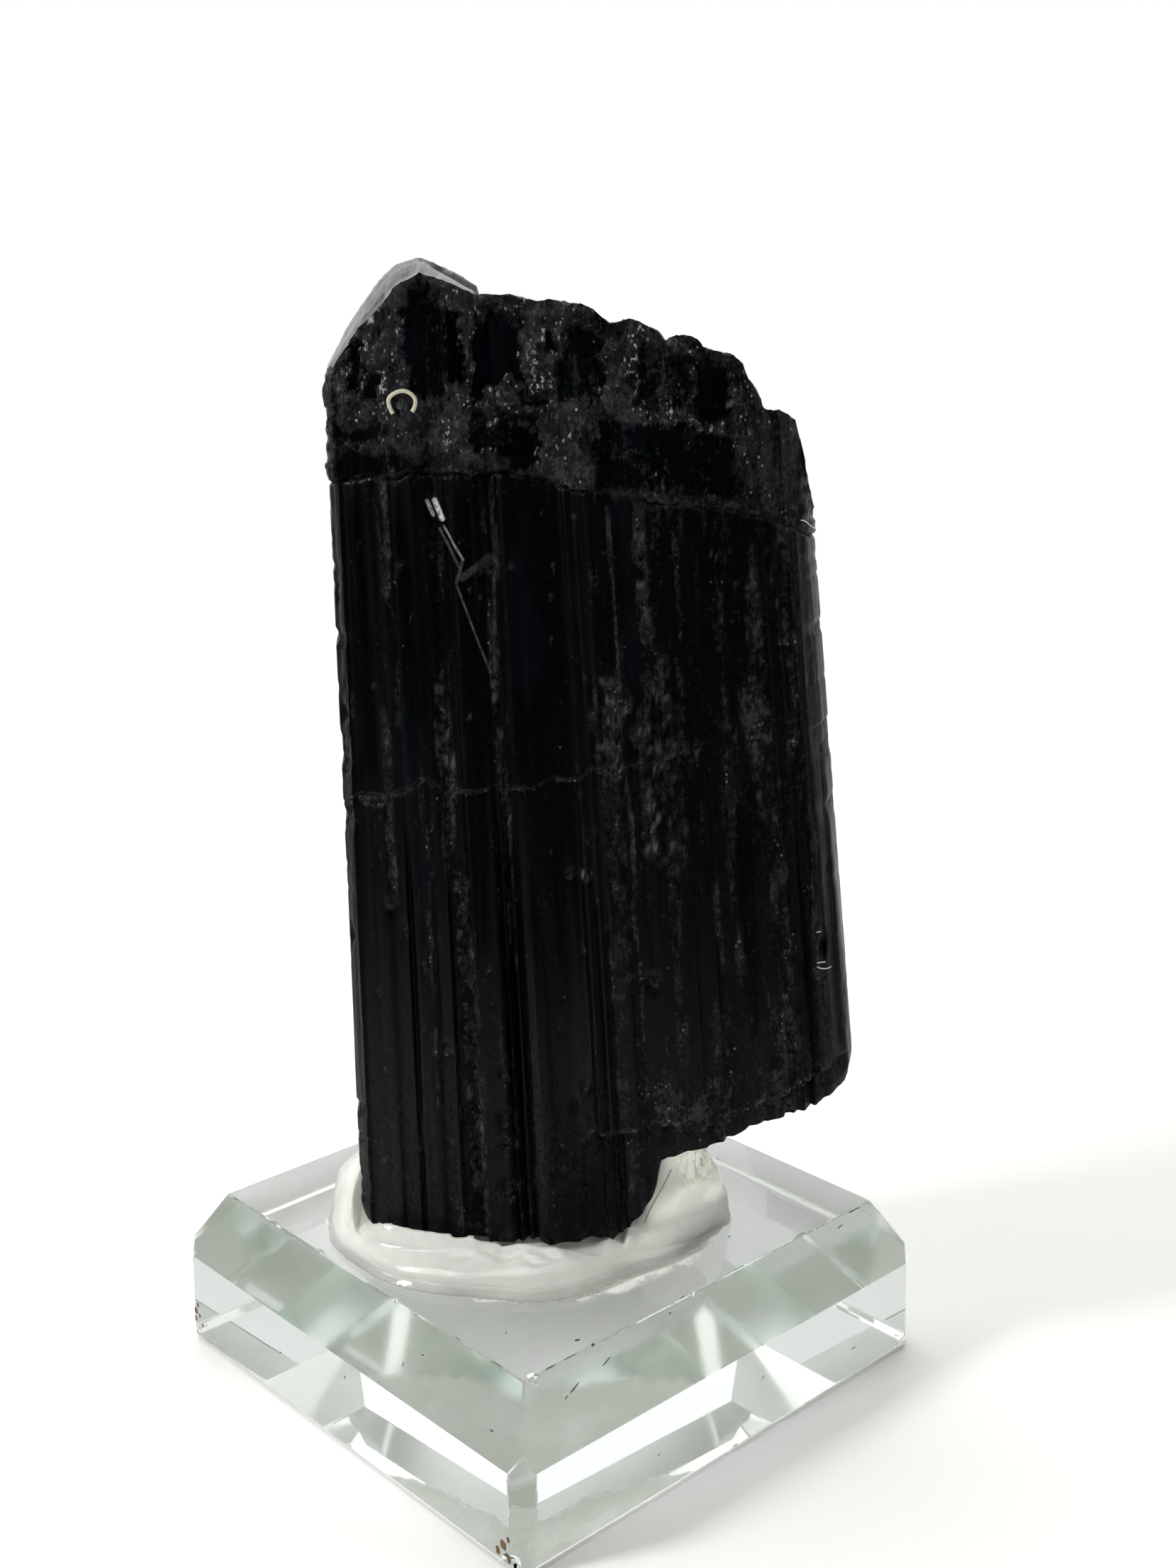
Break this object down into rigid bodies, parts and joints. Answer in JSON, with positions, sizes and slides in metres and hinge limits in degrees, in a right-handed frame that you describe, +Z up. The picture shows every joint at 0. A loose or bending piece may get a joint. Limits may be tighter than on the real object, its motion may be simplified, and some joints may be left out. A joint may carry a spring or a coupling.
{
  "type": "tourmaline crystal on a glass base",
  "caption": "Upright ribbed black crystal with a broken, pointed top, fixed by clear adhesive to a square glass display base with a bevelled top.",
  "frame": {"origin": "centre of the base's underside", "axes": "+Z up along the crystal, the crystal's broad face towards -Y, a corner of the base towards each of +X, -X, +Y and -Y"},
  "size_m": [0.07, 0.07, 0.1034],
  "materials": {
    "clear_glass": "polished",
    "clear_adhesive": "glossy, slightly wrinkled",
    "black_tourmaline": "satin to glossy with fine upright grooves"
  },
  "bodies": {
    "root": {"glass_base": "clear_glass", "adhesive": "clear_adhesive", "tourmaline_crystal": "black_tourmaline"}
  },
  "joints": []
}
